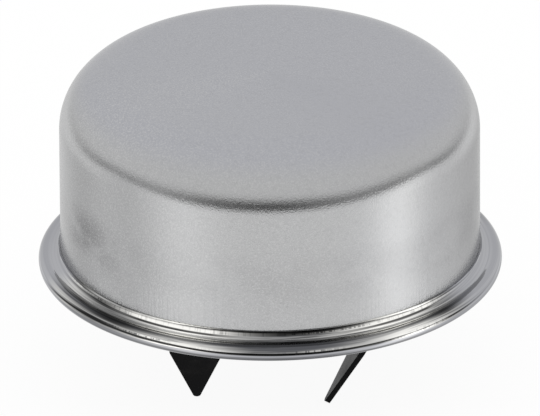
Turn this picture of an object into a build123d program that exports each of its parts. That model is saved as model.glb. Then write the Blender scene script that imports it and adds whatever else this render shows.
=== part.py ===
"""Push-in breather cap for an engine's oil filler neck, in millimetres.

A deep drawn, plated cover is hemmed round a pressed base plate. A pad of
knitted wire fills the cover and lies on a gauze disc. A rubber gasket under
the base plate seats on the rim of the filler neck, and a spring clip with four
pointed legs, riveted to the base plate, grips the inside of the neck.

+Z is up and the cap stands on the tips of its four legs. The origin is on the
cap's axis, level with those tips. Sizes run outwards from the neck and upwards
from the tips.
"""

import math
import os

from build123d import *

os.makedirs("parts", exist_ok=True)

# Filler neck that the cap closes
NECK_OUTER_RADIUS = 25.4
NECK_WALL = 2.1

# Sheet and wire thicknesses
COVER_SHEET = 0.7
PLATE_SHEET = 0.8
CLIP_SHEET = 0.9
GAUZE_THICKNESS = 0.5

# Gasket
GASKET_BORE_GAP = 0.4
GASKET_OVERHANG = 2.8
GASKET_THICKNESS = 2.2

# Base plate, a shallow dish with its rim held in the cover's hem
DISH_MARGIN = 0.1
DISH_BEND = 0.5
DISH_WALL = 0.2
VENT_RADIUS = 1.5
VENT_MARGIN = 0.6
VENT_PITCH = 7.2
PLATE_EDGE_GAP = 0.15

# Drawn cover
COVER_HEIGHT = 34.65
SHOULDER_RADIUS = 10.1
FOOT_FILLET = 1.55
FLANGE_FLAT = 0.7
HEM_LIP = 2.45

# Gauze disc and filter pad
GAUZE_EDGE_GAP = 0.35
GAUZE_PITCH = 5.2
GAUZE_OPENING = 3.8
PAD_SIDE_GAP = 0.4
PAD_TOP_GAP = 0.2

# Spring clip. A leg's reach is from the axis, square to its outer face.
CLIP_HEIGHT = 18.35
CLIP_GRIP = 0.15
KNEE_CORNER_ANGLE = 45.2
KNEE_DROP = 5.35
KNEE_BEND = 1.1
ROOT_SETBACK = 1.0
ROOT_BEND = 0.8
LEG_WIDTH = 8.9
LEG_LEAN = 28.2
LEG_HALF_TAPER = 18.0
LEG_TAPER_BLEND = 3.0
TIP_RADIUS = 0.65
EAR_LENGTH = 8.0
EAR_CORNER = 1.2
WINDOW_RADIUS = 3.7
WINDOW_EDGE = 1.7
GAS_HOLE_STEP = 0.4

# Rivet and its backing washer
RIVET_RADIUS = 2.0
RIVET_CLEARANCE = 0.05
RIVET_HEAD_RADIUS = 4.2
RIVET_HEAD_HEIGHT = 1.5
RIVET_HEAD_EDGE = 0.4
RIVET_TAIL_RADIUS = 3.0
RIVET_TAIL_CHAMFER = 0.35
RIVET_TAIL_GAP = 0.3
WASHER_RADIUS = 5.2
WASHER_THICKNESS = 0.8

# Radii that follow, from the neck outwards
NECK_BORE_RADIUS = NECK_OUTER_RADIUS - NECK_WALL
GASKET_INNER_RADIUS = NECK_BORE_RADIUS + GASKET_BORE_GAP
GASKET_OUTER_RADIUS = NECK_OUTER_RADIUS + GASKET_OVERHANG
DISH_RADIUS = GASKET_OUTER_RADIUS + DISH_MARGIN + DISH_BEND + PLATE_SHEET
VENT_CIRCLE = DISH_RADIUS + DISH_BEND + VENT_MARGIN + VENT_RADIUS
LIP_RADIUS = VENT_CIRCLE + VENT_RADIUS + VENT_MARGIN
ROLL_CENTRE_RADIUS = LIP_RADIUS + HEM_LIP
PLATE_RADIUS = ROLL_CENTRE_RADIUS - PLATE_EDGE_GAP
GAUZE_RADIUS = ROLL_CENTRE_RADIUS - GAUZE_EDGE_GAP
WALL_RADIUS = ROLL_CENTRE_RADIUS - FLANGE_FLAT - FOOT_FILLET

# Levels that follow, from the tips upwards
HEM_THICKNESS = 2 * COVER_SHEET + PLATE_SHEET + GAUZE_THICKNESS
HEM_ROLL = HEM_THICKNESS / 2
DISH_DEPTH = 2 * DISH_BEND + PLATE_SHEET + DISH_WALL
FLOOR_UNDERSIDE = CLIP_HEIGHT
FLOOR_TOP = FLOOR_UNDERSIDE + PLATE_SHEET
PLATE_RIM_UNDERSIDE = FLOOR_UNDERSIDE + DISH_DEPTH
PLATE_RIM_TOP = PLATE_RIM_UNDERSIDE + PLATE_SHEET
GAUZE_TOP = PLATE_RIM_TOP + GAUZE_THICKNESS
HEM_UNDERSIDE = PLATE_RIM_UNDERSIDE - COVER_SHEET
HEM_MIDDLE = HEM_UNDERSIDE + HEM_ROLL
HEM_TOP = HEM_UNDERSIDE + HEM_THICKNESS
COVER_TOP = HEM_UNDERSIDE + COVER_HEIGHT
CLIP_UNDERSIDE = CLIP_HEIGHT - CLIP_SHEET

# Reaches and places of the clip's legs
GRIP_RADIUS = NECK_BORE_RADIUS + CLIP_GRIP
KNEE_REACH = GRIP_RADIUS * math.cos(math.radians(KNEE_CORNER_ANGLE))
LEG_OUTER_EDGE = GRIP_RADIUS * math.sin(math.radians(KNEE_CORNER_ANGLE))
LEG_OFFSET = LEG_OUTER_EDGE - LEG_WIDTH / 2
KNEE_HEIGHT = CLIP_HEIGHT - KNEE_DROP
TIP_REACH = KNEE_REACH - KNEE_HEIGHT * math.tan(math.radians(LEG_LEAN))
ROOT_REACH = KNEE_REACH - ROOT_SETBACK
ROOT_TURN = math.atan2(KNEE_DROP, ROOT_SETBACK)
HUB_HALF = ROOT_REACH - (ROOT_BEND + CLIP_SHEET) * math.tan(ROOT_TURN / 2)
WINDOW_OFFSET = HUB_HALF - WINDOW_EDGE - WINDOW_RADIUS


def lathe(edges):
    """Solid turned about the Z axis from a closed outline in the XZ plane."""
    outline = make_face(Plane.XZ * (Curve() + edges))
    return revolve(outline, axis=Axis.Z)


def around(shape, count):
    """Copies of a shape set evenly round the Z axis."""
    return [Rot(0, 0, 360 / count * index) * shape for index in range(count)]


def at_corners(offset):
    """The four places that lie the same distance out along X and Y."""
    return [(x * offset, y * offset) for x in (-1, 1) for y in (-1, 1)]


def make_cover():
    """Cover drawn from one disc of sheet, with its edge turned under as a hem."""
    shoulder = (WALL_RADIUS - SHOULDER_RADIUS, COVER_TOP - SHOULDER_RADIUS)
    foot = (WALL_RADIUS + FOOT_FILLET, HEM_TOP + FOOT_FILLET)
    roll = (ROLL_CENTRE_RADIUS, HEM_MIDDLE)
    inner_wall = WALL_RADIUS - COVER_SHEET
    inner_top = COVER_TOP - COVER_SHEET
    flange_under = HEM_TOP - COVER_SHEET
    edges = [
        Line((0, COVER_TOP), (shoulder[0], COVER_TOP)),
        CenterArc(shoulder, SHOULDER_RADIUS, 90, -90),
        Line((WALL_RADIUS, shoulder[1]), (WALL_RADIUS, foot[1])),
        CenterArc(foot, FOOT_FILLET, 180, 90),
        Line((foot[0], HEM_TOP), (roll[0], HEM_TOP)),
        CenterArc(roll, HEM_ROLL, 90, -180),
        Line((roll[0], HEM_UNDERSIDE), (LIP_RADIUS, HEM_UNDERSIDE)),
        Line((LIP_RADIUS, HEM_UNDERSIDE), (LIP_RADIUS, PLATE_RIM_UNDERSIDE)),
        Line((LIP_RADIUS, PLATE_RIM_UNDERSIDE), (roll[0], PLATE_RIM_UNDERSIDE)),
        CenterArc(roll, HEM_ROLL - COVER_SHEET, -90, 180),
        Line((roll[0], flange_under), (foot[0], flange_under)),
        CenterArc(foot, FOOT_FILLET + COVER_SHEET, 270, -90),
        Line((inner_wall, foot[1]), (inner_wall, shoulder[1])),
        CenterArc(shoulder, SHOULDER_RADIUS - COVER_SHEET, 0, 90),
        Line((shoulder[0], inner_top), (0, inner_top)),
        Line((0, inner_top), (0, COVER_TOP)),
    ]
    return lathe(edges)


def make_base_plate():
    """Pressed dish with a ring of vents, four gas holes and the rivet's hole."""
    inner_step = DISH_RADIUS - PLATE_SHEET
    outer_bend = DISH_BEND + PLATE_SHEET
    rim_bend = (DISH_RADIUS + DISH_BEND, PLATE_RIM_UNDERSIDE - DISH_BEND)
    floor_bend = (DISH_RADIUS - outer_bend, FLOOR_UNDERSIDE + outer_bend)
    edges = [
        Line((PLATE_RADIUS, PLATE_RIM_UNDERSIDE), (rim_bend[0], PLATE_RIM_UNDERSIDE)),
        CenterArc(rim_bend, DISH_BEND, 90, 90),
        Line((DISH_RADIUS, rim_bend[1]), (DISH_RADIUS, floor_bend[1])),
        CenterArc(floor_bend, outer_bend, 0, -90),
        Line((floor_bend[0], FLOOR_UNDERSIDE), (0, FLOOR_UNDERSIDE)),
        Line((0, FLOOR_UNDERSIDE), (0, FLOOR_TOP)),
        Line((0, FLOOR_TOP), (floor_bend[0], FLOOR_TOP)),
        CenterArc(floor_bend, DISH_BEND, -90, 90),
        Line((inner_step, floor_bend[1]), (inner_step, rim_bend[1])),
        CenterArc(rim_bend, outer_bend, 180, -90),
        Line((rim_bend[0], PLATE_RIM_TOP), (PLATE_RADIUS, PLATE_RIM_TOP)),
        Line((PLATE_RADIUS, PLATE_RIM_TOP), (PLATE_RADIUS, PLATE_RIM_UNDERSIDE)),
    ]
    plate = lathe(edges)
    drill = 4 * PLATE_SHEET
    vent = Pos(VENT_CIRCLE, 0, PLATE_RIM_UNDERSIDE) * Cylinder(VENT_RADIUS, drill)
    vent_count = round(2 * math.pi * VENT_CIRCLE / VENT_PITCH)
    plate -= around(vent, vent_count)
    gas_hole = Cylinder(WINDOW_RADIUS - GAS_HOLE_STEP, drill)
    plate -= [Pos(x, y, FLOOR_UNDERSIDE) * gas_hole for x, y in at_corners(WINDOW_OFFSET)]
    plate -= Pos(0, 0, FLOOR_UNDERSIDE) * Cylinder(RIVET_RADIUS + RIVET_CLEARANCE, drill)
    return plate


def make_gauze():
    """Gauze disc clamped by its edge in the hem, with its openings in a square grid."""
    mesh_radius = LIP_RADIUS - GAUZE_OPENING / math.sqrt(2)
    reach = math.floor(mesh_radius / GAUZE_PITCH)
    places = [
        (column * GAUZE_PITCH, row * GAUZE_PITCH)
        for column in range(-reach, reach + 1)
        for row in range(-reach, reach + 1)
        if math.hypot(column, row) * GAUZE_PITCH <= mesh_radius
    ]
    opening = Rectangle(GAUZE_OPENING, GAUZE_OPENING)
    sheet = Circle(GAUZE_RADIUS) - [Pos(x, y) * opening for x, y in places]
    return Pos(0, 0, PLATE_RIM_TOP) * extrude(sheet, amount=GAUZE_THICKNESS)


def make_pad():
    """Pad of knitted wire that fills the cover above the gauze."""
    radius = WALL_RADIUS - COVER_SHEET - PAD_SIDE_GAP
    top = COVER_TOP - COVER_SHEET - PAD_TOP_GAP
    pad = Pos(0, 0, (GAUZE_TOP + top) / 2) * Cylinder(radius, top - GAUZE_TOP)
    return fillet(pad.edges().group_by(Axis.Z)[-1], SHOULDER_RADIUS - COVER_SHEET)


def make_gasket():
    """Flat rubber ring cemented under the base plate's floor."""
    ring = Circle(GASKET_OUTER_RADIUS) - Circle(GASKET_INNER_RADIUS)
    return Pos(0, 0, FLOOR_UNDERSIDE) * extrude(ring, amount=-GASKET_THICKNESS)


def offset_path(points, distance):
    """Corners of a path moved sideways by a distance, to the right of its run."""
    starts = []
    runs = []
    for (x0, y0), (x1, y1) in zip(points, points[1:]):
        length = math.hypot(x1 - x0, y1 - y0)
        along = ((x1 - x0) / length, (y1 - y0) / length)
        runs.append(along)
        starts.append((x0 + along[1] * distance, y0 - along[0] * distance))
    moved = [starts[0]]
    for (ax, ay), (bx, by), (px, py), (qx, qy) in zip(runs, runs[1:], starts, starts[1:]):
        step = ((qx - px) * by - (qy - py) * bx) / (ax * by - ay * bx)
        moved.append((px + ax * step, py + ay * step))
    end = points[-1]
    moved.append((end[0] + runs[-1][1] * distance, end[1] - runs[-1][0] * distance))
    return moved


def leg_outline():
    """Outline of a leg in its own plane: a blunt point that widens to the full width."""
    taper = math.radians(LEG_HALF_TAPER)
    half = LEG_WIDTH / 2
    touch = (TIP_RADIUS * math.cos(taper), TIP_RADIUS * (1 - math.sin(taper)))
    full_width = touch[1] + (half - touch[0]) / math.tan(taper)
    beyond = full_width + 2 * CLIP_HEIGHT
    sides = Polyline(
        (-touch[0], touch[1]),
        (-half, full_width),
        (-half, beyond),
        (half, beyond),
        (half, full_width),
        touch,
    )
    point = ThreePointArc(touch, (0, 0), (-touch[0], touch[1]))
    outline = make_face(Curve() + [sides, point])
    corners = outline.vertices().filter_by(lambda v: abs(v.Y - full_width) < TIP_RADIUS / 10)
    return fillet(corners, LEG_TAPER_BLEND)


def make_leg():
    """One leg of the clip, bent down at its root, out to its knee and in to its tip."""
    lean = math.radians(LEG_LEAN)
    outer = [
        (HUB_HALF - CLIP_SHEET, CLIP_HEIGHT),
        (ROOT_REACH, CLIP_HEIGHT),
        (KNEE_REACH, KNEE_HEIGHT),
        (TIP_REACH, 0),
    ]
    inner = offset_path(outer, CLIP_SHEET)
    outer_face = FilletPolyline(outer, radius=[ROOT_BEND + CLIP_SHEET, KNEE_BEND + CLIP_SHEET])
    inner_face = FilletPolyline(inner, radius=[ROOT_BEND, KNEE_BEND])
    ends = [Line(outer[0], inner[0]), Line(outer[-1], inner[-1])]
    section = make_face(Curve() + [outer_face, inner_face, *ends])
    strip = extrude(Plane.XZ.offset(LEG_OFFSET) * section, LEG_WIDTH / 2, both=True)
    blade = Plane(
        origin=(TIP_REACH, -LEG_OFFSET, 0),
        x_dir=(0, 1, 0),
        z_dir=(math.cos(lean), 0, -math.sin(lean)),
    )
    return strip & extrude(blade * leg_outline(), 2 * ROOT_REACH, both=True)


def make_clip():
    """Spring clip: a flat hub with four legs set round it like the vanes of a pinwheel."""
    ear_start = HUB_HALF - EAR_LENGTH
    ear = Pos((ear_start + HUB_HALF) / 2, -LEG_OFFSET) * Rectangle(EAR_LENGTH, LEG_WIDTH)
    hub = Rectangle(2 * HUB_HALF, 2 * HUB_HALF) + around(ear, 4)
    ear_corners = hub.vertices().filter_by(
        lambda v: abs(min(abs(v.X), abs(v.Y)) - ear_start) < CLIP_SHEET / 10
    )
    hub = fillet(ear_corners, EAR_CORNER)
    hub -= [Pos(x, y) * Circle(WINDOW_RADIUS) for x, y in at_corners(WINDOW_OFFSET)]
    hub -= Circle(RIVET_RADIUS + RIVET_CLEARANCE)
    plate = Pos(0, 0, CLIP_UNDERSIDE) * extrude(hub, amount=CLIP_SHEET)
    return plate + around(make_leg(), 4)


def make_rivet():
    """Rivet with a domed head under the clip and a set tail above the washer."""
    tail_base = FLOOR_TOP + WASHER_THICKNESS
    tail_top = PLATE_RIM_TOP - RIVET_TAIL_GAP
    rim = CLIP_UNDERSIDE - RIVET_HEAD_EDGE
    rise = RIVET_HEAD_HEIGHT - RIVET_HEAD_EDGE
    crown = rim - rise
    dome_radius = (RIVET_HEAD_RADIUS**2 + rise**2) / (2 * rise)
    turn = math.asin(RIVET_HEAD_RADIUS / dome_radius) / 2
    middle = (dome_radius * math.sin(turn), crown + dome_radius * (1 - math.cos(turn)))
    dome = ThreePointArc((RIVET_HEAD_RADIUS, rim), middle, (0, crown))
    outline = Polyline(
        (0, crown),
        (0, tail_top),
        (RIVET_TAIL_RADIUS - RIVET_TAIL_CHAMFER, tail_top),
        (RIVET_TAIL_RADIUS, tail_top - RIVET_TAIL_CHAMFER),
        (RIVET_TAIL_RADIUS, tail_base),
        (RIVET_RADIUS, tail_base),
        (RIVET_RADIUS, CLIP_UNDERSIDE),
        (RIVET_HEAD_RADIUS, CLIP_UNDERSIDE),
        (RIVET_HEAD_RADIUS, rim),
    )
    return lathe([outline, dome])


def make_washer():
    """Backing washer between the base plate's floor and the rivet's tail."""
    ring = Circle(WASHER_RADIUS) - Circle(RIVET_RADIUS + RIVET_CLEARANCE)
    return Pos(0, 0, FLOOR_TOP) * extrude(ring, amount=WASHER_THICKNESS)


NODES = {
    "cap_cover": make_cover,
    "base_plate": make_base_plate,
    "gauze_disc": make_gauze,
    "filter_pad": make_pad,
    "seat_gasket": make_gasket,
    "spring_clip": make_clip,
    "clip_rivet": make_rivet,
    "rivet_washer": make_washer,
}

for name, make in NODES.items():
    export_step(make(), f"parts/{name}.step")
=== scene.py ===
"""Looks of the push-in breather cap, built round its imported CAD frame.

Lengths are in metres, in the row frame: +Z runs up the cap's axis and -Y is the
side that the photograph shows. Colours are written as they show on screen.
"""

import logging
import math
from abc import ABC, abstractmethod
from dataclasses import dataclass
from enum import Enum
from functools import reduce

import bmesh
import bpy
import numpy as np
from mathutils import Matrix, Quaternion, Vector


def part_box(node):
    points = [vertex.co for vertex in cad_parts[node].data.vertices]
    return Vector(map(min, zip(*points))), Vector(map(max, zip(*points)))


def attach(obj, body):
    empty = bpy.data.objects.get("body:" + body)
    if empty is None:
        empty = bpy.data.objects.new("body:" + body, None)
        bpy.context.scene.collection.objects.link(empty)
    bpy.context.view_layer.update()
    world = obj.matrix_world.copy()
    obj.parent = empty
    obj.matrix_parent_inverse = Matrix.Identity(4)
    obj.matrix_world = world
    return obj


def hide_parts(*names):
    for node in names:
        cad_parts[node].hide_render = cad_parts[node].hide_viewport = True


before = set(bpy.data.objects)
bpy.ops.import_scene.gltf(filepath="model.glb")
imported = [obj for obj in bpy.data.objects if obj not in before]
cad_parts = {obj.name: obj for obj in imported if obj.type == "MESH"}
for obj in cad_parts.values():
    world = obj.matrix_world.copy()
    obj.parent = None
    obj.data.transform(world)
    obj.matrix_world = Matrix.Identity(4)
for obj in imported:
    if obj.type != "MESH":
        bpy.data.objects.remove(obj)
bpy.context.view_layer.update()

WHITE = (1.0, 1.0, 1.0, 1.0)
SAME_POINT = 1e-7

Socket = bpy.types.NodeSocket
Sockets = bpy.types.NodeOutputs

log = logging.getLogger("breather_cap")


class Piece(Enum):
    """The CAD nodes."""

    COVER = "cap_cover"
    BASE = "base_plate"
    GAUZE = "gauze_disc"
    PAD = "filter_pad"
    GASKET = "seat_gasket"
    CLIP = "spring_clip"
    RIVET = "clip_rivet"
    WASHER = "rivet_washer"


class Ray(Enum):
    """The kinds of ray that the studio answers differently."""

    CAMERA = "Is Camera Ray"
    GLOSSY = "Is Glossy Ray"


# Colours and node graphs


@dataclass(frozen=True)
class Tint:
    """A colour as it shows on screen, each part from 0 to 255."""

    red: float
    green: float
    blue: float

    def linear(self) -> tuple[float, float, float, float]:
        """The colour as the renderer counts it, by the sRGB curve, with full opacity.

        Returns:
            Red, green, blue and opacity, from 0 to 1.
        """
        parts = np.array([self.red, self.green, self.blue]) / 255
        low = parts / 12.92
        high = ((parts + 0.055) / 1.055) ** 2.4
        return (*np.where(parts <= 0.04045, low, high).tolist(), 1.0)


@dataclass(frozen=True)
class Pool:
    """A stretch round the Z axis with a value of its own.

    Bearings and spreads are in degrees, 0 towards the camera and 90 to the right.
    """

    bearing: float
    spread: float
    gain: float


Pools = tuple[Pool, ...]


class Graph:
    """A node tree with short calls that add nodes and join sockets."""

    def __init__(self, tree: bpy.types.NodeTree) -> None:
        """Empties the tree and starts a row of nodes.

        Args:
            tree: The node tree to fill.
        """
        self.tree = tree
        self.tree.nodes.clear()
        self.column = 0

    def add(self, kind: str, inputs: dict | None = None, **settings: object) -> bpy.types.Node:
        """Adds one node and fills or joins its inputs.

        Args:
            kind: The node's type name without its ShaderNode prefix.
            inputs: Socket name or number to a value, a tint or another node's output.
            settings: Attributes of the node, such as its operation.

        Returns:
            The new node.
        """
        prefix = "" if kind.startswith("NodeGroup") else "ShaderNode"
        node = self.tree.nodes.new(prefix + kind)
        node.location = (self.column * 180, 0)
        self.column += 1
        for name, value in settings.items():
            setattr(node, name, value)
        for key, value in (inputs or {}).items():
            if isinstance(value, Socket):
                self.tree.links.new(value, node.inputs[key])
            else:
                node.inputs[key].default_value = value.linear() if isinstance(value, Tint) else value
        return node

    def math(self, operation: str, *terms: object, clamp: bool = False) -> Socket:
        """One arithmetic step on one to three numbers or sockets."""
        return self.add("Math", dict(enumerate(terms)), operation=operation, use_clamp=clamp).outputs[0]

    def times(self, *factors: object) -> Socket:
        """The product of the factors."""
        return reduce(lambda product, factor: self.math("MULTIPLY", product, factor), factors)

    def larger(self, *terms: object) -> Socket:
        """The largest of the terms."""
        return reduce(lambda most, term: self.math("MAXIMUM", most, term), terms)

    def scaled(self, value: object, gain: object, base: object) -> Socket:
        """The value times the gain, plus the base."""
        return self.math("MULTIPLY_ADD", value, gain, base)

    def clamped(self, value: object) -> Socket:
        """The value kept between 0 and 1."""
        return self.math("MULTIPLY", value, 1.0, clamp=True)

    def ramp(self, value: object, low: object, high: object, start: float = 0.0, end: float = 1.0) -> Socket:
        """Goes from start to end along a smooth step while the value goes from low to high."""
        limits = {"Value": value, "From Min": low, "From Max": high, "To Min": start, "To Max": end}
        return self.add("MapRange", limits, interpolation_type="SMOOTHSTEP").outputs["Result"]

    def mix(self, factor: object, first: object, second: object) -> Socket:
        """Blends two colours, with the factor as the share of the second."""
        return self.add("Mix", {0: factor, 6: first, 7: second}, data_type="RGBA").outputs[2]

    def blend(self, factor: object, first: object, second: object) -> Socket:
        """Blends two numbers, with the factor as the share of the second."""
        return self.add("Mix", {0: factor, 2: first, 3: second}, data_type="FLOAT").outputs[0]

    def noise(self, vector: object, scale: object, detail: float) -> Socket:
        """Smooth noise about a half."""
        return self.add("TexNoise", {"Vector": vector, "Scale": scale, "Detail": detail}).outputs["Fac"]

    def place(self) -> Socket:
        """The point's place in the object's own coordinates."""
        return self.add("TexCoord").outputs["Object"]

    def parts(self, vector: object) -> Sockets:
        """The X, Y and Z of a vector."""
        return self.add("SeparateXYZ", {0: vector}).outputs

    def joined(self, *parts: object) -> Socket:
        """The vector of an X, a Y and a Z."""
        return self.add("CombineXYZ", dict(enumerate(parts))).outputs[0]

    def reach(self, parts: Sockets) -> Socket:
        """The distance from the Z axis: the root of x squared plus y squared."""
        squares = [self.times(parts[axis], parts[axis]) for axis in range(2)]
        return self.math("SQRT", self.math("ADD", *squares))

    def spoke(self, parts: Sockets) -> list[Socket]:
        """The X and Y of the direction from the Z axis: each divided by the distance."""
        reach = self.reach(parts)
        return [self.math("DIVIDE", parts[axis], reach) for axis in range(2)]

    def run(self, parts: Sockets) -> Socket:
        """The distance from the Z axis less the height, which grows down a wall and out along a flange."""
        return self.math("SUBTRACT", self.reach(parts), parts[2])

    def bearing(self, parts: Sockets) -> Socket:
        """The direction round the Z axis, in degrees: atan2(x, -y), 0 at the front and 90 at the right."""
        turn = self.math("ARCTAN2", parts[0], self.times(parts[1], -1.0))
        return self.math("DEGREES", turn)

    def bells(self, bearing: object, pools: Pools, base: float = 0.0) -> Socket:
        """The base plus each pool's gain times exp(-(away / spread)^2).

        Args:
            bearing: The bearing's socket, in degrees.
            pools: The stretches with another value.
            base: Result away from the pools.

        Returns:
            The result's socket.
        """
        total: object = base
        for pool in pools:
            away = self.math("WRAP", self.math("SUBTRACT", bearing, pool.bearing), 180.0, -180.0)
            share = self.math("DIVIDE", away, pool.spread)
            bell = self.math("EXPONENT", self.times(share, share, -1.0))
            total = self.scaled(bell, pool.gain, total)
        return total


@dataclass(frozen=True)
class Ramp:
    """A smooth step from start to end between two values."""

    low: float
    high: float
    start: float = 0.0
    end: float = 1.0

    def of(self, graph: Graph, value: object) -> Socket:
        """The step's socket for a value."""
        return graph.ramp(value, self.low, self.high, self.start, self.end)


@dataclass(frozen=True)
class Share:
    """A number that goes from a base by a gain as a mask goes from 0 to 1."""

    base: float
    gain: float

    def of(self, graph: Graph, mask: object) -> Socket:
        """The base plus the mask times the gain."""
        return graph.scaled(mask, self.gain, self.base)


@dataclass(frozen=True)
class Stripe:
    """A stretch of runs that goes all round the cap, with the half width of its soft edges."""

    low: float
    high: float
    soft: float

    def of(self, graph: Graph, run: object, *gains: object) -> Socket:
        """A mask that is the product of the gains in the stripe and 0 outside it."""
        above = graph.ramp(run, self.low - self.soft, self.low + self.soft)
        return graph.times(above, graph.ramp(run, self.high - self.soft, self.high + self.soft, 1.0, 0.0), *gains)


class Effect(ABC):
    """A shader node group that is built once and placed wherever it is needed."""

    name: str
    inputs: dict[str, float]
    outputs: tuple[str, ...]

    @classmethod
    @abstractmethod
    def fill(cls, graph: Graph, given: Sockets) -> dict[str, Socket]:
        """Builds the group's inside.

        Args:
            graph: The group's own graph.
            given: Output sockets that carry the group's inputs.

        Returns:
            Each output's name and the socket that feeds it.
        """

    @classmethod
    def tree(cls) -> bpy.types.NodeTree:
        """The node group, made on the first call.

        Returns:
            The group's node tree.
        """
        made = bpy.data.node_groups.get(cls.name)
        if made is not None:
            return made
        made = bpy.data.node_groups.new(cls.name, "ShaderNodeTree")
        made.interface.new_socket("Vector", in_out="INPUT", socket_type="NodeSocketVector")
        for name, value in cls.inputs.items():
            socket = made.interface.new_socket(name, in_out="INPUT", socket_type="NodeSocketFloat")
            socket.default_value = value
        for name in cls.outputs:
            made.interface.new_socket(name, in_out="OUTPUT", socket_type="NodeSocketFloat")
        graph = Graph(made)
        given = graph.add("NodeGroupInput")
        graph.add("NodeGroupOutput", cls.fill(graph, given.outputs))
        return made

    @classmethod
    def use(cls, graph: Graph, place: object, **values: float) -> Sockets:
        """Places the group in a material.

        Args:
            graph: The material's graph.
            place: The coordinates' socket.
            values: Each input's value.

        Returns:
            The group's output sockets.
        """
        return graph.add("Group", {"Vector": place, **values}, node_tree=cls.tree()).outputs


class Clouds(Effect):
    """Soft blotches between 0 and 1."""

    name = "clouds"
    inputs = {"Size": 0.01, "Low": 0.4, "High": 0.6}
    outputs = ("Mask",)

    @classmethod
    def fill(cls, graph: Graph, given: Sockets) -> dict[str, Socket]:
        """Noise of the given size, stretched so that Low is 0 and High is 1."""
        noise = graph.noise(given["Vector"], graph.math("DIVIDE", 1.0, given["Size"]), detail=4.0)
        return {"Mask": graph.ramp(noise, given["Low"], given["High"])}


class SandGrain(Effect):
    """The fine sandy relief that drawing leaves on sheet metal."""

    name = "sand_grain"
    inputs = {"Size": 0.0003, "Coarse": 0.3}
    outputs = ("Height", "Fleck", "Pit")
    coarser = 3.0
    fleck = Ramp(0.44, 0.7)
    pit = Ramp(0.34, 0.5, 1.0, 0.0)

    @classmethod
    def fill(cls, graph: Graph, given: Sockets) -> dict[str, Socket]:
        """Fine noise plus a share of coarser noise; flecks are fine peaks, pits coarse lows.

        Args:
            graph: The group's own graph.
            given: Sockets of the group's inputs.

        Returns:
            The sockets of the height and the two masks.
        """
        scale = graph.math("DIVIDE", 1.0, given["Size"])
        fine = graph.noise(given["Vector"], scale, detail=2.0)
        coarse = graph.noise(given["Vector"], graph.math("DIVIDE", scale, cls.coarser), detail=3.0)
        height = graph.math("ADD", fine, graph.times(coarse, given["Coarse"]))
        return {"Height": height, "Fleck": cls.fleck.of(graph, fine), "Pit": cls.pit.of(graph, coarse)}


class RoundLines(Effect):
    """Lines that run round the Z axis, as on turned or spun metal."""

    name = "round_lines"
    inputs = {"Pitch": 0.0004, "Waver": 0.02}
    outputs = ("Height",)

    @classmethod
    def fill(cls, graph: Graph, given: Sockets) -> dict[str, Socket]:
        """Noise read at the run, with a little of the direction round the axis.

        Args:
            graph: The group's own graph.
            given: Sockets of the group's inputs.

        Returns:
            The height's socket.
        """
        parts = graph.parts(given["Vector"])
        side, front = graph.spoke(parts)
        scale = graph.math("DIVIDE", 1.0, given["Pitch"])
        along = graph.times(graph.run(parts), scale)
        side = graph.times(side, given["Waver"], scale)
        spot = graph.joined(along, side, graph.times(front, given["Waver"]))
        return {"Height": graph.noise(spot, 1.0, detail=3.0)}


class DrawLines(Effect):
    """Fine lines that run up a drawn wall."""

    name = "draw_lines"
    inputs = {"Count": 260.0, "Length": 0.02}
    outputs = ("Height",)

    @classmethod
    def fill(cls, graph: Graph, given: Sockets) -> dict[str, Socket]:
        """Noise that changes fast with the direction round the Z axis and slowly with height.

        Args:
            graph: The group's own graph.
            given: Sockets of the group's inputs.

        Returns:
            The height's socket.
        """
        parts = graph.parts(given["Vector"])
        share = graph.math("DIVIDE", given["Count"], 2 * math.pi)
        across = [graph.times(part, share) for part in graph.spoke(parts)]
        level = graph.math("DIVIDE", parts[2], given["Length"])
        return {"Height": graph.noise(graph.joined(*across, level), 1.0, detail=3.0)}


@dataclass(frozen=True)
class Blotches:
    """Soft blotches of one size, which go from 0 to 1 while the noise goes from low to high."""

    size: float
    low: float
    high: float

    def of(self, graph: Graph, place: Socket) -> Socket:
        """The blotches' mask."""
        return Clouds.use(graph, place, Size=self.size, Low=self.low, High=self.high)["Mask"]


# Finishes


@dataclass(frozen=True)
class Finish(ABC):
    """A finish that can be put on a piece."""

    name: str

    @abstractmethod
    def sockets(self, graph: Graph, place: Socket) -> dict[str, object]:
        """Builds the pattern.

        Args:
            graph: The material's graph.
            place: The point's place.

        Returns:
            What each of the shader's sockets is set or joined to.
        """

    def relief(self, graph: Graph, height: object, depth: float) -> Socket:
        """The normal that a relief of a given depth gives."""
        return graph.add("Bump", {"Strength": 1.0, "Distance": depth, "Height": height}).outputs[0]

    def material(self) -> bpy.types.Material:
        """The material, made on the first call.

        Returns:
            The finished material.
        """
        made = bpy.data.materials.get(self.name)
        if made is not None:
            return made
        made = bpy.data.materials.new(self.name)
        made.use_nodes = True
        graph = Graph(made.node_tree)
        shader = graph.add("BsdfPrincipled", self.sockets(graph, graph.place()))
        graph.add("OutputMaterial", {"Surface": shader.outputs[0]})
        return made

    def dress(self, piece: bpy.types.Object) -> None:
        """Makes this the piece's only material."""
        piece.data.materials.clear()
        piece.data.materials.append(self.material())


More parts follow.
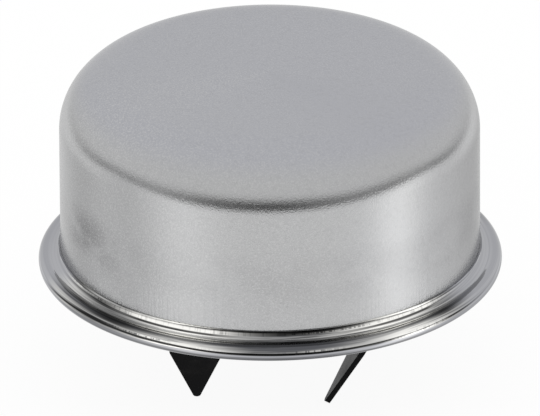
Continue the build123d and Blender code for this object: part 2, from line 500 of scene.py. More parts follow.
@dataclass(frozen=True)
class DrawnPlatedSteel(Finish):
    """Bright plating over deep drawn sheet: satin on the draw; on the flange, polished streaks with painted
    reflections, painted highlights and painted shade.

    Stripes lie at a run, which is a distance from the axis less a height, so it
    grows down the wall and out across the flange. They are lines of painted shade
    and painted dark reflection at the wall's foot, beside it, along a band further
    out and at the hem's outer edge, with painted glints beside them. Pools give each its strength or its wander
    round the cap.
    """

    rim_level: float
    rim_fade: float = 0.0002
    # Tints of the draw, then of the flange, whose tints other than the rim's are painted shade, painted
    # reflections and painted highlights
    tint: Tint = Tint(171.5, 172, 173)
    warm: Tint = Tint(174, 174, 173)
    cool: Tint = Tint(167.5, 168.5, 173.5)
    fleck: Tint = Tint(198, 198, 198)
    # Grey of pits and handling marks, and of a painted dark reflection on the wall
    smudge_and_shade: Tint = Tint(118, 118, 119)
    painted_shade_grey: Tint = Tint(62, 63, 66)
    sheen: Tint = Tint(142, 142, 143)
    bright: Tint = Tint(253, 252, 248)
    deep: Tint = Tint(84, 85, 89)
    dark: Tint = Tint(14, 14, 15)
    rim: Tint = Tint(162, 163, 168)
    # Blotches, gloss and relief
    broad: Blotches = Blotches(0.022, 0.3, 0.7)
    small: Blotches = Blotches(0.007, 0.34, 0.56)
    edge_on: float = 0.8
    satin: Share = Share(0.17, 0.05)
    polish: float = 0.045
    grain_height: float = 0.000021
    spun: Share = Share(0.8, -0.8)
    # The draw
    drawn: Ramp = Ramp(0.0106, 0.0108, 1.0, 0.0)
    near_foot: Ramp = Ramp(0.0027, 0.0107)
    top: Ramp = Ramp(-0.0233, -0.0153, 1.0, 0.0)
    warmth: float = 0.35
    pitted: float = 0.07
    handled: Stripe = Stripe(-0.0018, 0.0057, 0.0025)
    # The pool at -60 degrees is a painted dark reflection on the wall's left side
    marks: Pools = (Pool(-60, 10, 0.55), Pool(95, 30, 0.2), Pool(-150, 24, 0.3))
    marks_base: float = 0.12
    sandy: Pools = (Pool(-62, 26, 0.2), Pool(42, 26, -0.18))
    sandy_base: float = 0.32
    drawn_deep: Pools = (Pool(-20, 15, 2.0),)
    drawn_base: float = 1.6
    # Streaks of the flange, with pools of painted reflection and polish round it
    streak: Ramp = Ramp(0.42, 0.6)
    gleam: Ramp = Ramp(0.35, 0.46)
    burnish_and_reflection_pools: Pools = (
        Pool(-24, 13, 1.0),
        Pool(33, 14.5, 1.0),
        Pool(-78, 22, 0.6),
        Pool(80, 20, 0.6),
        Pool(122, 16, 1.0),
        Pool(168, 20, 0.9),
        Pool(-132, 18, 0.9),
    )
    rim_edge: Ramp = Ramp(0.01702, 0.01712, 0.0, 0.85)
    # Share of painted shade that darkens the rim on the left
    rim_left_painted_shade: float = 0.4
    turned: float = 6.0
    ahead: Ramp = Ramp(56.0, 71.0, 1.0, 0.12)
    behind: Ramp = Ramp(102.0, 126.0, 0.0, 0.7)
    # Dark lines of the flange: painted shade and painted dark reflections, set by pools round it
    painted_front_shade: Pools = (Pool(8, 19, 1.0),)
    left_shade: Pools = (Pool(-50, 14, 1.0),)
    groove_painted_shade: Stripe = Stripe(0.0141, 0.0152, 0.0003)
    groove_painted_shade_wide: Stripe = Stripe(0.0134, 0.0159, 0.0004)
    groove_painted_black: Stripe = Stripe(0.0139, 0.0156, 0.0002)
    groove_shade_strength: Share = Share(0.95, -0.3)
    groove_wander: Pools = (Pool(-22, 16, -0.0004), Pool(6, 13, -0.0004), Pool(27, 9, -0.0006))
    black: Pools = (Pool(-44, 12, 0.85), Pool(50, 7, 0.7), Pool(130, 12, 0.6))
    score_painted_shade: Stripe = Stripe(0.01195, 0.01248, 0.0001)
    score_shade_strength: float = 0.88
    crease_painted_shade: Stripe = Stripe(0.0108, 0.01142, 0.00006)
    crease_painted_shade_wide: Stripe = Stripe(0.0108, 0.01172, 0.0001)
    crease_painted_shade_left: Stripe = Stripe(0.01132, 0.01262, 0.0002)
    crease_shade_strength: Share = Share(0.97, -0.85)
    left_foot: Pools = (Pool(-51, 9, 1.0),)
    left_foot_shade_strength: float = 0.85
    hem: Stripe = Stripe(0.0167, 0.01712, 0.00006)
    hem_wide: Stripe = Stripe(0.0164, 0.01712, 0.0001)
    hem_shade_strength: Share = Share(0.9, -0.85)
    hem_wander: Pools = (Pool(-54, 22, 0.0005), Pool(-27, 11, 0.0002), Pool(60, 26, 0.0003))
    # Painted glints and highlights beside them
    glints: Pools = (Pool(-27, 14, 1.8), Pool(39, 10, 1.8), Pool(148, 24, 0.9), Pool(-150, 22, 0.7))
    crease_light: Stripe = Stripe(0.011, 0.01192, 0.0001)
    crease_glint_dots: Stripe = Stripe(0.01142, 0.01168, 0.00006)
    hem_glint_dots: Stripe = Stripe(0.01635, 0.0167, 0.00006)
    hem_glints: Pools = (Pool(40, 6, 1.0), Pool(150, 14, 0.8))
    hem_glint_dotted: Pools = (Pool(-30, 8, 1.0), Pool(-17, 4, 0.6), Pool(12, 6, 0.45), Pool(-150, 14, 0.8))
    glint_dot_ticks: Ramp = Ramp(0.4, 0.54, 0.15, 1.0)
    crease_ticks: Ramp = Ramp(0.36, 0.5, 0.5, 1.0)
    hem_ticks: Ramp = Ramp(0.4, 0.52, 0.3, 1.0)

    def flange_colour(self, graph: Graph, place: Socket, run: Socket) -> Socket:
        """Streaks that run round the flange, brightened with painted reflections in polished pools, with lines of
        painted shade and painted glints between.

        Args:
            graph: The material's graph.
            place: The point's place.
            run: Its run.

        Returns:
            The colour's socket.
        """
        parts = graph.parts(place)
        bearing = graph.bearing(parts)
        streaks = RoundLines.use(graph, place, Pitch=0.0004, Waver=0.0012)["Height"]
        # Pools of painted reflection and polish: plain streaks run from painted shade grey to sheen, and in the
        # pools from sheen to a painted highlight
        burnish_and_reflection = graph.clamped(graph.bells(bearing, self.burnish_and_reflection_pools))
        plain = graph.mix(self.streak.of(graph, streaks), self.painted_shade_grey, self.sheen)
        shiny = graph.mix(self.gleam.of(graph, streaks), self.sheen, self.bright)
        colour = graph.mix(burnish_and_reflection, plain, shiny)
        # Painted shade on the left: it darkens the rim and widens the hem's dark line
        left = graph.bells(bearing, self.left_shade)
        rim = graph.mix(graph.times(left, self.rim_left_painted_shade), self.rim, self.painted_shade_grey)
        colour = graph.mix(self.rim_edge.of(graph, run), colour, rim)

        # Painted shade and dark reflections in two bands out on the flange, widest in front
        painted_front_shade = graph.bells(bearing, self.painted_front_shade)
        glint = graph.clamped(graph.bells(bearing, self.glints))
        lively = graph.larger(burnish_and_reflection, glint)
        groove_run = graph.math("ADD", run, graph.bells(bearing, self.groove_wander))
        groove_painted_shade = self.groove_painted_shade.of(graph, groove_run, self.groove_shade_strength.of(graph, burnish_and_reflection))
        wide = self.groove_painted_shade_wide.of(graph, groove_run, painted_front_shade)
        colour = graph.mix(graph.larger(groove_painted_shade, wide), colour, self.deep)
        inky = self.groove_painted_black.of(graph, groove_run, graph.bells(bearing, self.black))
        colour = graph.mix(inky, colour, self.dark)
        score_painted_shade = self.score_painted_shade.of(graph, run, graph.times(lively, self.score_shade_strength))
        colour = graph.mix(score_painted_shade, colour, self.dark)

        # Painted shade at the wall's foot and along the hem, above the rim's lowest part
        crease_painted_shade = self.crease_painted_shade.of(graph, run, self.crease_shade_strength.of(graph, glint))
        wide = self.crease_painted_shade_wide.of(graph, run, graph.math("SQRT", painted_front_shade))
        far_left = graph.bells(bearing, self.left_foot)
        crease_painted_shade = graph.times(graph.larger(crease_painted_shade, wide), graph.math("SUBTRACT", 1.0, far_left))
        lower = self.crease_painted_shade_left.of(graph, run, graph.times(far_left, self.left_foot_shade_strength))
        hem_run = graph.math("ADD", run, graph.bells(bearing, self.hem_wander))
        hem_glint = graph.bells(bearing, self.hem_glints)
        hem_wide = self.hem_wide.of(graph, hem_run)
        hem = graph.larger(self.hem.of(graph, hem_run), graph.times(hem_wide, left))
        hem = graph.times(hem, self.hem_shade_strength.of(graph, hem_glint))
        above = graph.ramp(parts[2], self.rim_level - self.rim_fade, self.rim_level)
        colour = graph.mix(graph.times(graph.larger(crease_painted_shade, lower, hem), above), colour, self.dark)

        # Painted glints and highlights, broken up into dots
        ticks = DrawLines.use(graph, place, Count=520.0, Length=0.004)["Height"]
        foot = self.crease_glint_dots.of(graph, run, lively)
        edge = self.hem_glint_dots.of(graph, hem_run, graph.bells(bearing, self.hem_glint_dotted))
        glint_dots = graph.times(graph.larger(foot, edge), self.glint_dot_ticks.of(graph, ticks))
        foot = self.crease_light.of(graph, run, glint, self.crease_ticks.of(graph, ticks))
        edge = graph.times(hem_wide, hem_glint, self.hem_ticks.of(graph, ticks))
        colour = graph.mix(graph.larger(glint_dots, foot, edge), colour, self.bright)

        # The painted streaks, lines and glints show in full near the front, mostly give way to the rim's plain
        # grey at the sides, and partly show again behind
        turn = graph.math("ABSOLUTE", graph.math("ADD", bearing, self.turned))
        shown = graph.larger(self.ahead.of(graph, turn), self.behind.of(graph, turn))
        return graph.mix(shown, self.rim, colour)

    def wall_colour(self, graph: Graph, parts: Sockets, clouds: Socket, blotch: Socket, grain: Sockets) -> Socket:
        """Satin grey with bright flecks and dark pits in the grain, and faint handling marks on the wall, which
        gather on its left side into a painted dark reflection.

        Args:
            graph: The material's graph.
            parts: The X, Y and Z of the point's place.
            clouds: A mask of broad blotches.
            blotch: A mask of small ones.
            grain: The grain's sockets.

        Returns:
            The colour's socket.
        """
        run = graph.run(parts)
        bearing = graph.bearing(parts)
        colour = graph.mix(graph.times(clouds, self.warmth), self.tint, self.warm)
        colour = graph.mix(self.top.of(graph, run), colour, self.cool)
        marks = graph.bells(bearing, self.marks, self.marks_base)
        # Handling marks, and a painted dark reflection in their pool on the left
        colour = graph.mix(graph.times(blotch, marks, self.handled.of(graph, run)), colour, self.smudge_and_shade)
        colour = graph.mix(graph.times(grain["Pit"], self.pitted), colour, self.smudge_and_shade)
        sparkle = graph.bells(bearing, self.sandy, self.sandy_base)
        return graph.mix(graph.times(grain["Fleck"], sparkle), colour, self.fleck)

    def sockets(self, graph: Graph, place: Socket) -> dict[str, object]:
        """Grain and draw lines stop at the wall's foot, where the flange begins.

        Args:
            graph: The material's graph.
            place: The point's place.

        Returns:
            What each of the shader's sockets is set or joined to.
        """
        parts = graph.parts(place)
        run = graph.run(parts)
        drawn = self.drawn.of(graph, run)
        clouds = self.broad.of(graph, place)
        blotch = self.small.of(graph, place)
        grain = SandGrain.use(graph, place, Size=0.00026, Coarse=0.5)
        draw = DrawLines.use(graph, place, Count=420.0, Length=0.012)["Height"]
        rings = RoundLines.use(graph, place, Pitch=0.00035, Waver=0.002)["Height"]

        satin = self.wall_colour(graph, parts, clouds, blotch, grain)
        gap = graph.math("SUBTRACT", self.satin.of(graph, clouds), self.polish)
        depth = graph.bells(graph.bearing(parts), self.drawn_deep, self.drawn_base)
        streak = graph.times(draw, graph.times(self.near_foot.of(graph, run), graph.times(drawn, depth)))
        spun = graph.times(rings, self.spun.of(graph, drawn))
        height = graph.math("ADD", graph.math("ADD", graph.times(grain["Height"], drawn), streak), spun)
        return {
            "Metallic": 1.0,
            "Specular Tint": (self.edge_on, self.edge_on, self.edge_on, 1.0),
            "Base Color": graph.mix(drawn, self.flange_colour(graph, place, run), satin),
            "Roughness": graph.scaled(gap, drawn, self.polish),
            "Normal": self.relief(graph, height, self.grain_height),
        }


@dataclass(frozen=True)
class ZincPlate(Finish):
    """Zinc plated sheet with a faint blue and straw mottle."""

    tint: Tint = Tint(176, 178, 182)
    straw: Tint = Tint(178, 174, 160)
    stained: Tint = Tint(132, 133, 134)
    mottle: Blotches = Blotches(0.006, 0.35, 0.65)
    stains: Blotches = Blotches(0.015, 0.5, 0.75)
    staining: float = 0.5
    roughness: Share = Share(0.24, 0.18)
    rolling: float = 0.6
    depth: float = 0.000012

    def sockets(self, graph: Graph, place: Socket) -> dict[str, object]:
        """Mottled colour and roughness over a grain and faint rolling marks.

        Args:
            graph: The material's graph.
            place: The point's place.

        Returns:
            What each of the shader's sockets is set or joined to.
        """
        stain = self.stains.of(graph, place)
        grain = SandGrain.use(graph, place, Size=0.0002, Coarse=0.6)
        rings = RoundLines.use(graph, place, Pitch=0.0005, Waver=0.01)["Height"]
        colour = graph.mix(self.mottle.of(graph, place), self.tint, self.straw)
        height = graph.math("ADD", grain["Height"], graph.times(rings, self.rolling))
        return {
            "Metallic": 1.0,
            "Base Color": graph.mix(graph.times(stain, self.staining), colour, self.stained),
            "Roughness": self.roughness.of(graph, stain),
            "Normal": self.relief(graph, height, self.depth),
        }


@dataclass(frozen=True)
class PatchedFinish(Finish):
    """A fine grain with patches of a second tint, which may show more on the grain's flecks."""

    tint: Tint
    patched: Tint
    patches: Blotches
    showing: Share
    roughness: Share
    grain: float
    coarse: float
    depth: float
    metallic: float = 0.0
    gloss: float = 0.5

    def smoothed(self, graph: Graph, place: Socket, patch: Socket) -> Socket:
        """The mask that the roughness follows, which is that of the patches."""
        return patch

    def sockets(self, graph: Graph, place: Socket) -> dict[str, object]:
        """The tints mixed by the patches, over the grain's relief.

        Args:
            graph: The material's graph.
            place: The point's place.

        Returns:
            What each of the shader's sockets is set or joined to.
        """
        patch = self.patches.of(graph, place)
        grain = SandGrain.use(graph, place, Size=self.grain, Coarse=self.coarse)
        shown = graph.times(patch, self.showing.of(graph, grain["Fleck"]))
        return {
            "Metallic": self.metallic,
            "Specular IOR Level": self.gloss,
            "Base Color": graph.mix(shown, self.tint, self.patched),
            "Roughness": self.roughness.of(graph, self.smoothed(graph, place, patch)),
            "Normal": self.relief(graph, grain["Height"], self.depth),
        }


@dataclass(frozen=True)
class PhosphatedSpring(PatchedFinish):
    """Black phosphated spring steel: a crystalline grain, greyer where rubbed, smoother where oiled."""

    tint: Tint = Tint(5, 5, 6)
    patched: Tint = Tint(46, 45, 44)
    patches: Blotches = Blotches(0.004, 0.55, 0.8)
    showing: Share = Share(0.15, 0.4)
    roughness: Share = Share(0.48, -0.12)
    grain: float = 0.00012
    coarse: float = 0.8
    depth: float = 0.00002
    gloss: float = 0.07
    oil: Blotches = Blotches(0.008, 0.35, 0.65)

    def smoothed(self, graph: Graph, place: Socket, patch: Socket) -> Socket:
        """The mask that the roughness follows, which is that of the oil."""
        return self.oil.of(graph, place)


@dataclass(frozen=True)
class MouldedRubber(PatchedFinish):
    """Matt black rubber: a fine pebbled skin with a patchy grey bloom."""

    tint: Tint = Tint(27, 27, 28)
    patched: Tint = Tint(58, 58, 58)
    patches: Blotches = Blotches(0.005, 0.45, 0.8)
    showing: Share = Share(0.2, 0.4)
    roughness: Share = Share(0.6, 0.15)
    grain: float = 0.00035
    coarse: float = 0.4
    depth: float = 0.00003
    gloss: float = 0.35


@dataclass(frozen=True)
class DrawnWire(PatchedFinish):
    """Galvanised wire with a fine drawn grain, duller where it has weathered."""

    tint: Tint = Tint(150, 150, 148)
    patched: Tint = Tint(96, 94, 90)
    patches: Blotches = Blotches(0.003, 0.35, 0.7)
    showing: Share = Share(1.0, 0.0)
    roughness: Share = Share(0.28, 0.2)
    grain: float = 0.00008
    coarse: float = 0.5
    depth: float = 0.000006
    metallic: float = 1.0


# Surfaces


class Profile:
    """An outline in the plane of distance from the axis and height, drawn from lines and arcs."""

    def __init__(self, *start: tuple[float, float]) -> None:
        """Starts an outline, at a point if one is given."""
        self.runs = [np.array(start, dtype=float)] if start else []

    def to(self, end: tuple[float, float], steps: int = 1) -> None:
        """Adds a straight run in equal steps: the last point plus a share of the way to the end."""
        start = self.runs[-1][-1]
        self.runs.append(start + np.linspace(0, 1, steps + 1)[:, None] * (np.array(end) - start))

    def arc(self, centre: tuple[float, float], radius: float, start: float, turn: float, steps: int) -> None:
        """Adds an arc: the centre plus the radius in each direction between two angles.

        Args:
            centre: Centre of the arc.
            radius: Its radius.
            start: First direction, in degrees from straight out.
            turn: Angle turned, in degrees, with the sign of its sense.
            steps: Number of equal steps.
        """
        angle = np.radians(start + turn * np.linspace(0, 1, steps + 1))
        spokes = np.stack([np.cos(angle), np.sin(angle)], axis=1)
        self.runs.append(np.array(centre) + radius * spokes)

    def points(self) -> np.ndarray:
        """All runs end to end, with the points that two runs share kept once.

        Returns:
            An array of distances from the axis and heights.
        """
        joined = np.concatenate(self.runs)
        apart = np.linalg.norm(np.diff(joined, axis=0), axis=1) > SAME_POINT
        return joined[np.concatenate([[True], apart])]


def circle(count: int) -> np.ndarray:
    """Directions at equal steps once round, in radians."""
    return 2 * np.pi * np.arange(count) / count


def lathe(outline: np.ndarray, around: int) -> np.ndarray:
    """Turns an outline about the Z axis.

    The point at outline row i and column j is the radius of i in direction
    2 pi j / around, at the height of i.

    Args:
        outline: Distances from the axis and heights.
        around: Number of steps round the axis.

    Returns:
        A grid of points, rows by columns by three.
    """
    angle = circle(around)
    radius, height = outline[:, :1], outline[:, 1:]
    flat = [radius * np.cos(angle), radius * np.sin(angle), height + 0 * angle]
    return np.stack(flat, axis=-1)


def tubes(paths: np.ndarray, radius: float, around: int) -> np.ndarray:
    """Carries a circle along each of many paths, closed to a point at both ends.

    Across a path, one axis is square to its run and level, and the other is
    square to both. A point is the path's own plus the radius times the cosine
    of its angle on the first axis and the sine on the second.

    Args:
        paths: Paths by points by three.
        radius: Radius of the tubes.
        around: Number of points round a tube.

    Returns:
        A grid for each path, points by around by three.
    """
    run = np.gradient(paths, axis=-2)
    run /= np.linalg.norm(run, axis=-1, keepdims=True)
    level = np.cross(run, [0.0, 0.0, 1.0])
    level /= np.linalg.norm(level, axis=-1, keepdims=True)
    upright = np.cross(level, run)
    angle = circle(around)
    reach = np.full(paths.shape[-2], radius)
    reach[[0, -1]] = 0
    reach = reach[:, None, None]
    across = level[..., None, :] * np.cos(angle)[:, None] + upright[..., None, :] * np.sin(angle)[:, None]
    return paths[..., None, :] + reach * across


def add_object(name: str, data: bpy.types.ID) -> bpy.types.Object:
    """Adds an object at the origin to the scene.

    Args:
        name: Name of the object.
        data: Its mesh or camera.

    Returns:
        The new object.
    """
    piece = bpy.data.objects.new(name, data)
    bpy.context.scene.collection.objects.link(piece)
    return piece


def make_mesh(name: str, grid: np.ndarray, wrap_rows: bool = False, sharp: float = 40.0) -> bpy.types.Object:
    """Makes a mesh object of one or many grids whose columns close on themselves.

    Args:
        name: Name of the piece.
        grid: Points, with any number of grids first, then rows, columns, three.
        wrap_rows: Whether the last row joins the first.
        sharp: Angle between faces, in degrees, above which their edge is sharp.

    Returns:
        The new object, at the origin.
    """
    rows, columns = grid.shape[-3:-1]
    points = grid.reshape(-1, 3)
    index = np.arange(len(points)).reshape(-1, rows, columns)
    right = np.roll(index, -1, axis=2)
    quads = np.stack([index, right, np.roll(right, -1, axis=1), np.roll(index, -1, axis=1)], axis=-1)
    if not wrap_rows:
        quads = quads[:, :-1]
    corners = quads.reshape(-1)
    mesh = bpy.data.meshes.new(name)
    mesh.vertices.add(len(points))
    mesh.vertices.foreach_set("co", points.astype(np.float32).reshape(-1))
    mesh.loops.add(len(corners))
    mesh.loops.foreach_set("vertex_index", corners.astype(np.int32))
    mesh.polygons.add(len(corners) // 4)
    mesh.polygons.foreach_set("loop_start", np.arange(0, len(corners), 4, dtype=np.int32))
    mesh.update(calc_edges=True)

    shape = bmesh.new()
    shape.from_mesh(mesh)
    bmesh.ops.remove_doubles(shape, verts=shape.verts, dist=SAME_POINT)
    bmesh.ops.recalc_face_normals(shape, faces=shape.faces)
    shape.to_mesh(mesh)
    shape.free()
    mesh.shade_smooth()
    mesh.set_sharp_from_angle(angle=math.radians(sharp))
    return add_object(name, mesh)


def stand_for(piece: bpy.types.Object, node: Piece, finish: Finish, hides: bool = True) -> None:
    """Dresses a new piece, lets it ride on the cap and shows it in place of a CAD node.

    Args:
        piece: The new mesh object.
        node: The CAD node that it stands for.
        finish: Its finish.
        hides: Whether the CAD node is no longer shown.
    """
    finish.dress(piece)
    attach(piece, "root")
    if hides:
        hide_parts(node.value)
    log.info("piece %s: %d faces, stands for %s", piece.name, len(piece.data.polygons), node.value)


def dress_node(node: Piece, finish: Finish) -> None:
    """Dresses a CAD node as it is."""
    finish.dress(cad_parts[node.value])
    log.info("piece %s: CAD solid, dressed as %s", node.value, finish.name)


# Sub-assemblies


@dataclass(frozen=True)
class CoverShell:
    """The drawn cover with its turned hem."""

    finish: Finish
    rim_radius: float
    top: float
    underside: float
    sheet: float = 0.0007
    wall_radius: float = 0.0345
    shoulder: float = 0.0101
    foot: float = 0.00155
    roll: float = 0.00135
    dip: float = 8.0
    lip_radius: float = 0.0343
    around: int = 384

    def outline(self) -> np.ndarray:
        """The cover's whole section, outside from the axis to the lip and back along the inside.

        Returns:
            Distances from the axis and heights.
        """
        slope = math.radians(self.dip)
        bend = (self.wall_radius - self.shoulder, self.top - self.shoulder)
        roll = (self.rim_radius - self.roll, self.underside + self.roll)
        flat = roll[0] - self.wall_radius - self.foot - (self.foot + self.roll) * math.sin(slope)
        drop = flat * math.tan(slope) - (self.foot + self.roll) * math.cos(slope)
        foot = (self.wall_radius + self.foot, roll[1] - drop)
        held = self.underside + self.sheet
        line = Profile((0, self.top))
        line.to((bend[0], self.top), steps=10)
        line.arc(bend, self.shoulder, 90, -90, steps=44)
        line.to((self.wall_radius, foot[1]), steps=14)
        line.arc(foot, self.foot, 180, 90 + self.dip, steps=26)
        line.arc(roll, self.roll, 90 + self.dip, -180 - self.dip, steps=38)
        line.to((self.lip_radius, self.underside), steps=2)
        line.to((self.lip_radius, held))
        line.to((roll[0], held))
        line.arc(roll, self.roll - self.sheet, -90, 180 + self.dip, steps=8)
        line.arc(foot, self.foot + self.sheet, 270 + self.dip, -90 - self.dip, steps=6)
        line.to((self.wall_radius - self.sheet, bend[1]))
        line.arc(bend, self.shoulder - self.sheet, 0, 90, steps=10)
        line.to((0, self.top - self.sheet))
        return line.points()

    def build(self) -> None:
        """Makes the cover and shows it in place of the CAD cover."""
        stand_for(make_mesh("cover_shell", lathe(self.outline(), self.around)), Piece.COVER, self.finish)


@dataclass(frozen=True)
class SeatGasket:
    """The rubber ring that seats on the neck's rim."""

    finish: Finish
    outer_radius: float
    low: float
    high: float
    inner_radius: float = 0.0237
    edge: float = 0.00025
    around: int = 192

    def outline(self) -> np.ndarray:
        """A rectangle with rounded corners.

        Returns:
            Distances from the axis and heights.
        """
        inner, outer = self.inner_radius + self.edge, self.outer_radius - self.edge
        low, high = self.low + self.edge, self.high - self.edge
        line = Profile()
        for corner, start in (((outer, high), 90), ((outer, low), 0), ((inner, low), -90), ((inner, high), 180)):
            line.arc(corner, self.edge, start, -90, steps=5)
        return line.points()

    def build(self) -> None:
        """Makes the gasket and shows it in place of the CAD ring."""
        ring = make_mesh("gasket_ring", lathe(self.outline(), self.around), wrap_rows=True)
        stand_for(ring, Piece.GASKET, self.finish)


@dataclass(frozen=True)
class WovenGauze:
    """Plain woven wire gauze."""

    finish: Finish
    radius: float
    low: float
    high: float
    pitch: float = 0.0016
    wire: float = 0.00014
    steps_per_pitch: int = 4
    around: int = 6

    def paths(self) -> np.ndarray:
        """Wires one pitch apart that rise and dip by turns over the wires across them.

        Wire k lies at k pitches from the middle. Its height is the middle level
        plus the sway times the cosine of pi times the distance along it in
        pitches plus k, and the wires across it have the opposite sign.

        Returns:
            Paths by points by three, first along X, then along Y.
        """
        count = int((self.radius - self.pitch) / self.pitch)
        steps = 2 * count * self.steps_per_pitch
        number = np.arange(-count, count + 1)[:, None]
        offset = number * self.pitch
        reach = np.sqrt(self.radius**2 - offset**2)
        along = np.linspace(-1, 1, steps + 1) * reach
        sway = (self.high - self.low) / 2 - self.wire
        wave = sway * np.cos(np.pi * (along / self.pitch + number))
        middle = (self.low + self.high) / 2
        level = np.broadcast_to(offset, along.shape)
        along_x = np.stack([along, level, middle + wave], axis=-1)
        along_y = np.stack([level, along, middle - wave], axis=-1)
        return np.concatenate([along_x, along_y])

    def build(self) -> None:
        """Makes the gauze and shows it in place of the CAD disc."""
        grid = tubes(self.paths(), self.wire, self.around)
        stand_for(make_mesh("gauze_wires", grid, sharp=180), Piece.GAUZE, self.finish)


@dataclass(frozen=True)
class KnittedPad:
    """The pad of knitted wire: a layer of loops below a packed core."""

    finish: Finish
    core_finish: Finish
    radius: float
    low: float
    high: float
    layer: float = 0.0012
    shoulder: float = 0.0094
    core_around: int = 96
    loop_width: float = 0.0032
    loop_height: float = 0.0019
    swings_in_width: float = 4.5
    lift_share: float = 0.95
    wire: float = 0.0001
    steps_per_loop: int = 22
    around: int = 5

    def paths(self) -> np.ndarray:
        """Courses of knitted loops, one loop's height apart.

        With t turning once a loop, the wire is moved along its course by a
        part of the loop's width times sin 2t, towards the next course by most of
        its height times cos t, and up by half the layer, less the wire, times
        cos 2t.

        Returns:
            Paths by points by three.
        """
        inner = self.radius - 2 * self.loop_height
        count = int(inner / self.loop_height)
        offset = np.arange(-count, count + 1)[:, None] * self.loop_height
        steps = int(2 * self.radius / self.loop_width * self.steps_per_loop)
        across = np.linspace(-1, 1, steps + 1) * np.sqrt(inner**2 - offset**2)
        turn = 2 * np.pi * across / self.loop_width
        x = across + self.loop_width / self.swings_in_width * np.sin(2 * turn)
        y = offset + self.loop_height * self.lift_share * np.cos(turn)
        z = self.low + self.layer / 2 + (self.layer / 2 - self.wire) * np.cos(2 * turn)
        return np.stack([x, y, z], axis=-1)

    def core(self) -> np.ndarray:
        """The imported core's section, with the cover's shoulder at the top.

        Returns:
            Distances from the axis and heights.
        """
        low = self.low + self.layer
        bend = (self.radius - self.shoulder, self.high - self.shoulder)
        line = Profile((0, low))
        line.to((self.radius, low), steps=8)
        line.to((self.radius, bend[1]), steps=6)
        line.arc(bend, self.shoulder, 0, 90, steps=12)
        line.to((0, self.high), steps=4)
        return line.points()

    def build(self) -> None:
        """Makes the core and the loops and shows them in place of the CAD pad."""
        core = make_mesh("pad_core", lathe(self.core(), self.core_around))
        stand_for(core, Piece.PAD, self.core_finish)
        loops = make_mesh("pad_loops", tubes(self.paths(), self.wire, self.around), sharp=180)
        stand_for(loops, Piece.PAD, self.finish, hides=False)


@dataclass(frozen=True)
class ClipRivet:
    """The rivet that holds the clip, with a domed head and a set tail."""

    finish: Finish
    crown: float
    tail_top: float
    head_radius: float
    head_edge: float = 0.0004
    head_height: float = 0.0015
    shank: float = 0.002
    tail_radius: float = 0.003
    tail_height: float = 0.0009
    chamfer: float = 0.00035
    around: int = 96

    def outline(self) -> np.ndarray:
        """The dome is the cap of a sphere: its radius is (r^2 + h^2) / 2h for head radius r and rise h.

        Returns:
            Distances from the axis and heights.
        """
        rise = self.head_height - self.head_edge
        dome = (self.head_radius**2 + rise**2) / (2 * rise)
        half = math.degrees(math.asin(self.head_radius / dome))
        base, tail = self.crown + self.head_height, self.tail_top - self.tail_height
        line = Profile()
        line.arc((0, self.crown + dome), dome, -90, half, steps=14)
        for corner in (
            (self.head_radius, base),
            (self.shank, base),
            (self.shank, tail),
            (self.tail_radius, tail),
            (self.tail_radius, self.tail_top - self.chamfer),
            (self.tail_radius - self.chamfer, self.tail_top),
            (0, self.tail_top),
        ):
            line.to(corner)
        return line.points()

    def build(self) -> None:
        """Makes the rivet and shows it in place of the CAD rivet."""
        stand_for(make_mesh("clip_rivet_turned", lathe(self.outline(), self.around)), Piece.RIVET, self.finish)


# Studio


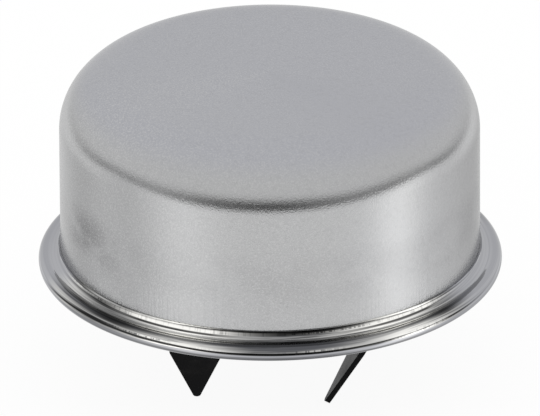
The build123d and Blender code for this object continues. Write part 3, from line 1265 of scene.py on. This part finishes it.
@dataclass(frozen=True)
class Studio:
    """A white studio with a pale table and a dark room behind the camera.

    Elevations are in degrees above the horizon. Tones are 1 for white. Sides
    are ramps over the cosine of the bearing, which is 1 in front.
    """

    floor_radius: float = 3.0
    floor_corners: int = 96
    floor_tone: float = 0.98
    shadow_share: float = 0.07
    table_edge: float = -14.0
    edge_blur: float = 1.5
    side: Ramp = Ramp(-0.5, 0.3, 1.0, 0.0)
    side_drop: float = -6.5
    table_tone: float = 1.15
    near_shade: Ramp = Ramp(-75.0, -35.0, 0.4, 1.0)
    far_table: Ramp = Ramp(-24.0, -13.0)
    room_height: Ramp = Ramp(-4.0, 14.0, 1.0, 0.0)
    room_side: Ramp = Ramp(-0.95, -0.15)
    room_tone: float = 0.03
    sky_tone: float = 1.0
    table_pools: Pools = (
        Pool(-47, 16, 0.22),
        Pool(74.5, 15.5, 0.57),
        Pool(-125, 22, -0.31),
        Pool(-85, 18, -0.22),
        Pool(-168, 16, -0.12),
        Pool(135, 30, -0.2),
        Pool(165, 22, -0.24),
    )
    edge_pools: Pools = (Pool(-128, 26, 0.3), Pool(142, 26, 0.35))
    windows: Pools = (Pool(-62, 28, 0.4), Pool(45, 25, 0.3))

    def reflection(self, graph: Graph) -> Socket:
        """What a glossy ray meets: the table below, the dark room in front, white above and behind.

        Args:
            graph: The world's graph.

        Returns:
            The brightness's socket.
        """
        ray = graph.parts(graph.add("TexCoord").outputs["Generated"])
        bearing = graph.bearing(ray)
        front = graph.math("COSINE", graph.math("RADIANS", bearing))
        rise = graph.math("DEGREES", graph.math("ARCSINE", ray[2]))

        side = self.side.of(graph, front)
        edge = graph.times(graph.larger(front, 0.0), self.table_edge)
        edge = graph.scaled(side, self.side_drop, edge)
        table_share = graph.ramp(graph.math("SUBTRACT", rise, edge), -self.edge_blur, self.edge_blur, 1.0, 0.0)
        low = self.room_height.of(graph, graph.scaled(side, -self.side_drop, rise))
        room_share = graph.times(low, self.room_side.of(graph, front))

        tone = graph.bells(bearing, self.table_pools, self.table_tone)
        far = self.far_table.of(graph, rise)
        tone = graph.scaled(graph.bells(bearing, self.edge_pools), far, tone)
        table = graph.times(tone, self.near_shade.of(graph, rise))
        over = graph.blend(room_share, self.sky_tone, graph.bells(bearing, self.windows, self.room_tone))
        return graph.blend(table_share, over, table)

    def world(self) -> None:
        """White light from all round, at the level at which a colour renders as written."""
        world = bpy.data.worlds.new("white_tent")
        world.use_nodes = True
        world.cycles.sampling_method = "NONE"
        graph = Graph(world.node_tree)
        glossy = graph.add("LightPath").outputs[Ray.GLOSSY.value]
        seen = graph.blend(glossy, 1.0, self.reflection(graph))
        light = graph.add("Background", {"Color": WHITE, "Strength": seen})
        graph.add("OutputWorld", {"Surface": light.outputs[0]})
        bpy.context.scene.world = world

    def floor_material(self) -> bpy.types.Material:
        """White to the camera with a share of the shadow, clear to glossy rays and from below.

        Returns:
            The floor's material.
        """
        material = bpy.data.materials.new("white_floor")
        material.use_nodes = True
        material.cycles.emission_sampling = "NONE"
        graph = Graph(material.node_tree)
        rays = graph.add("LightPath").outputs
        plain = graph.add("BsdfDiffuse", {"Color": (self.floor_tone,) * 3 + (1.0,)}).outputs[0]
        white = graph.add("Emission", {"Color": WHITE, "Strength": 1.0}).outputs[0]
        clear = graph.add("BsdfTransparent").outputs[0]
        shown = graph.add("MixShader", {0: self.shadow_share, 1: white, 2: plain}).outputs[0]
        front = graph.add("MixShader", {0: rays[Ray.CAMERA.value], 1: plain, 2: shown}).outputs[0]
        below = graph.add("NewGeometry").outputs["Backfacing"]
        hidden = graph.larger(below, rays[Ray.GLOSSY.value])
        whole = graph.add("MixShader", {0: hidden, 1: front, 2: clear})
        graph.add("OutputMaterial", {"Surface": whole.outputs[0]})
        return material

    def floor(self) -> None:
        """Lays a round floor under the cap."""
        angle = circle(self.floor_corners)
        ring = np.stack([np.cos(angle), np.sin(angle), 0 * angle], axis=-1) * self.floor_radius
        mesh = bpy.data.meshes.new("floor")
        mesh.from_pydata(ring.tolist(), [], [list(range(self.floor_corners))])
        mesh.materials.append(self.floor_material())
        floor = add_object("floor", mesh)
        log.info("stage: floor")

    def build(self) -> None:
        """Sets up the light and the stage."""
        self.world()
        self.floor()
        bpy.context.scene.view_settings.view_transform = "Standard"


@dataclass(frozen=True)
class PhotoCamera:
    """The camera, at the photograph's angle, with angles in degrees and the lens in millimetres."""

    elevation: float = 25.18
    roll: float = -0.31
    distance: float = 2.705
    lens: float = 1098.0
    sensor: float = 36.0
    nearest: float = 0.01
    farthest: float = 20.0
    aim: float = 0.02968

    def build(self) -> None:
        """Places the camera and aims it at a point on the cap's axis."""
        tilt = math.radians(self.elevation)
        back = Vector((0.0, -math.cos(tilt), math.sin(tilt)))
        data = bpy.data.cameras.new("photo_camera")
        data.lens, data.sensor_width = self.lens, self.sensor
        data.clip_start, data.clip_end = self.nearest, self.farthest
        camera = add_object("photo_camera", data)
        camera.location = Vector((0.0, 0.0, self.aim)) + back * self.distance
        camera.rotation_mode = "QUATERNION"
        turn = Quaternion(back, math.radians(self.roll))
        camera.rotation_quaternion = turn @ (-back).to_track_quat("-Z", "Y")
        bpy.context.scene.camera = camera
        log.info("camera: %.1f degrees up, %.2f m away", self.elevation, self.distance)


def main() -> None:
    """Builds the studio, then each sub-assembly from the inside out."""
    logging.basicConfig(level=logging.INFO, format="%(message)s")
    PhotoCamera().build()
    Studio().build()

    cover_low, cover_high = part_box(Piece.COVER.value)
    gasket_low, gasket_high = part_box(Piece.GASKET.value)
    gauze_low, gauze_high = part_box(Piece.GAUZE.value)
    pad_low, pad_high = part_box(Piece.PAD.value)
    rivet_low, rivet_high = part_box(Piece.RIVET.value)

    plated = DrawnPlatedSteel(name="drawn_plated_steel", rim_level=cover_low.z + CoverShell.roll)
    zinc = ZincPlate(name="zinc_plate")
    wire = DrawnWire(name="drawn_wire")
    packed = DrawnWire(name="packed_wire", tint=Tint(80, 79, 77), patched=Tint(40, 39, 38))
    rubber = MouldedRubber(name="moulded_rubber")

    dress_node(Piece.WASHER, zinc)
    dress_node(Piece.BASE, zinc)
    KnittedPad(wire, packed, pad_high.x, pad_low.z, pad_high.z).build()
    WovenGauze(wire, gauze_high.x, gauze_low.z, gauze_high.z).build()
    SeatGasket(rubber, gasket_high.x, gasket_low.z, gasket_high.z).build()
    dress_node(Piece.CLIP, PhosphatedSpring(name="phosphated_spring"))
    ClipRivet(zinc, rivet_low.z, rivet_high.z, rivet_high.x).build()
    CoverShell(plated, cover_high.x, cover_high.z, cover_low.z).build()


if __name__ == "__main__":
    main()
